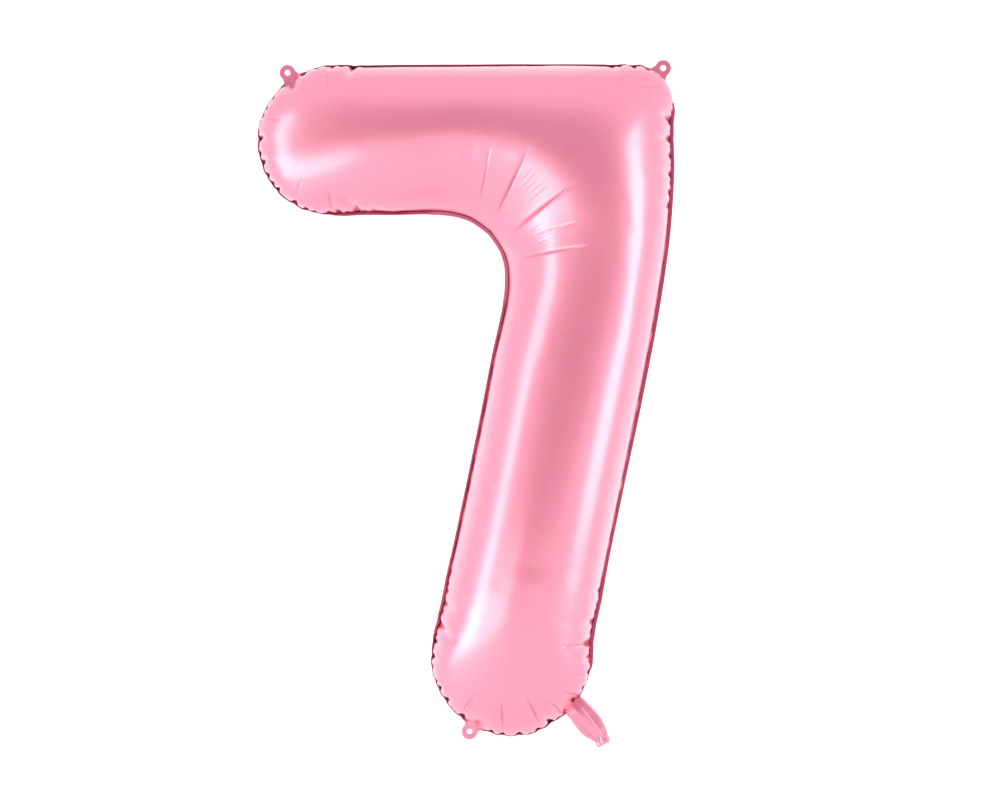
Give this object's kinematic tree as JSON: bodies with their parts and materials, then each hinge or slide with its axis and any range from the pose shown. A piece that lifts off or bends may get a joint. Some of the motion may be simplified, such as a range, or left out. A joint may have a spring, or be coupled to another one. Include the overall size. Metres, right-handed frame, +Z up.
{
  "type": "foil number balloon",
  "caption": "Inflated pink foil balloon in the shape of a 7: two film panels welded round the rim, three hanging tabs and a filling tail with a film valve.",
  "frame": {"origin": "midway between the centres of the two upper hanging holes, in the plane of the seam", "axes": "+X to the right of the number seen from the front, +Y to its back, +Z up; the seam lies in the plane Y = 0"},
  "size_m": [0.4768, 0.1786, 0.7886],
  "materials": {
    "foil": "pastel pink pearl lacquer over metallised film, glossy",
    "foil_tab": "the same film, two layers welded flat, glossy",
    "valve_film": "milky polyethylene film"
  },
  "bodies": {
    "envelope": {"front_panel": "foil", "back_panel": "foil", "valve_sleeve_front_film": "valve_film", "valve_sleeve_back_film": "valve_film"},
    "tab_upper_left": {"tab_upper_left": "foil_tab"},
    "tab_upper_right": {"tab_upper_right": "foil_tab"},
    "tab_lower": {"tab_lower": "foil_tab"},
    "tail": {"tail_front_film": "foil_tab", "tail_back_film": "foil_tab", "valve_mouth_front_film": "valve_film", "valve_mouth_back_film": "valve_film"}
  },
  "joints": [
    {"name": "tab_upper_left_bend", "type": "hinge", "parent": "envelope", "child": "tab_upper_left", "pos_m": [-0.21144, 0, -0.00868], "axis": [-0.8241, 0, -0.5664], "range_deg": [-90, 90], "stiffness_Nm_per_rad": 0.0002},
    {"name": "tab_upper_right_bend", "type": "hinge", "parent": "envelope", "child": "tab_upper_right", "pos_m": [0.21098, 0, -0.00285], "axis": [-0.7771, 0, 0.6293], "range_deg": [-90, 90], "stiffness_Nm_per_rad": 0.0002},
    {"name": "tab_lower_bend", "type": "hinge", "parent": "envelope", "child": "tab_lower", "pos_m": [-0.00325, 0, -0.75185], "axis": [0.8746, 0, -0.4848], "range_deg": [-90, 90], "stiffness_Nm_per_rad": 0.0002},
    {"name": "tail_bend", "type": "hinge", "parent": "envelope", "child": "tail", "pos_m": [0.11245, 0, -0.7304], "axis": [0.6428, 0, 0.766], "range_deg": [-90, 90], "stiffness_Nm_per_rad": 0.002}
  ]
}
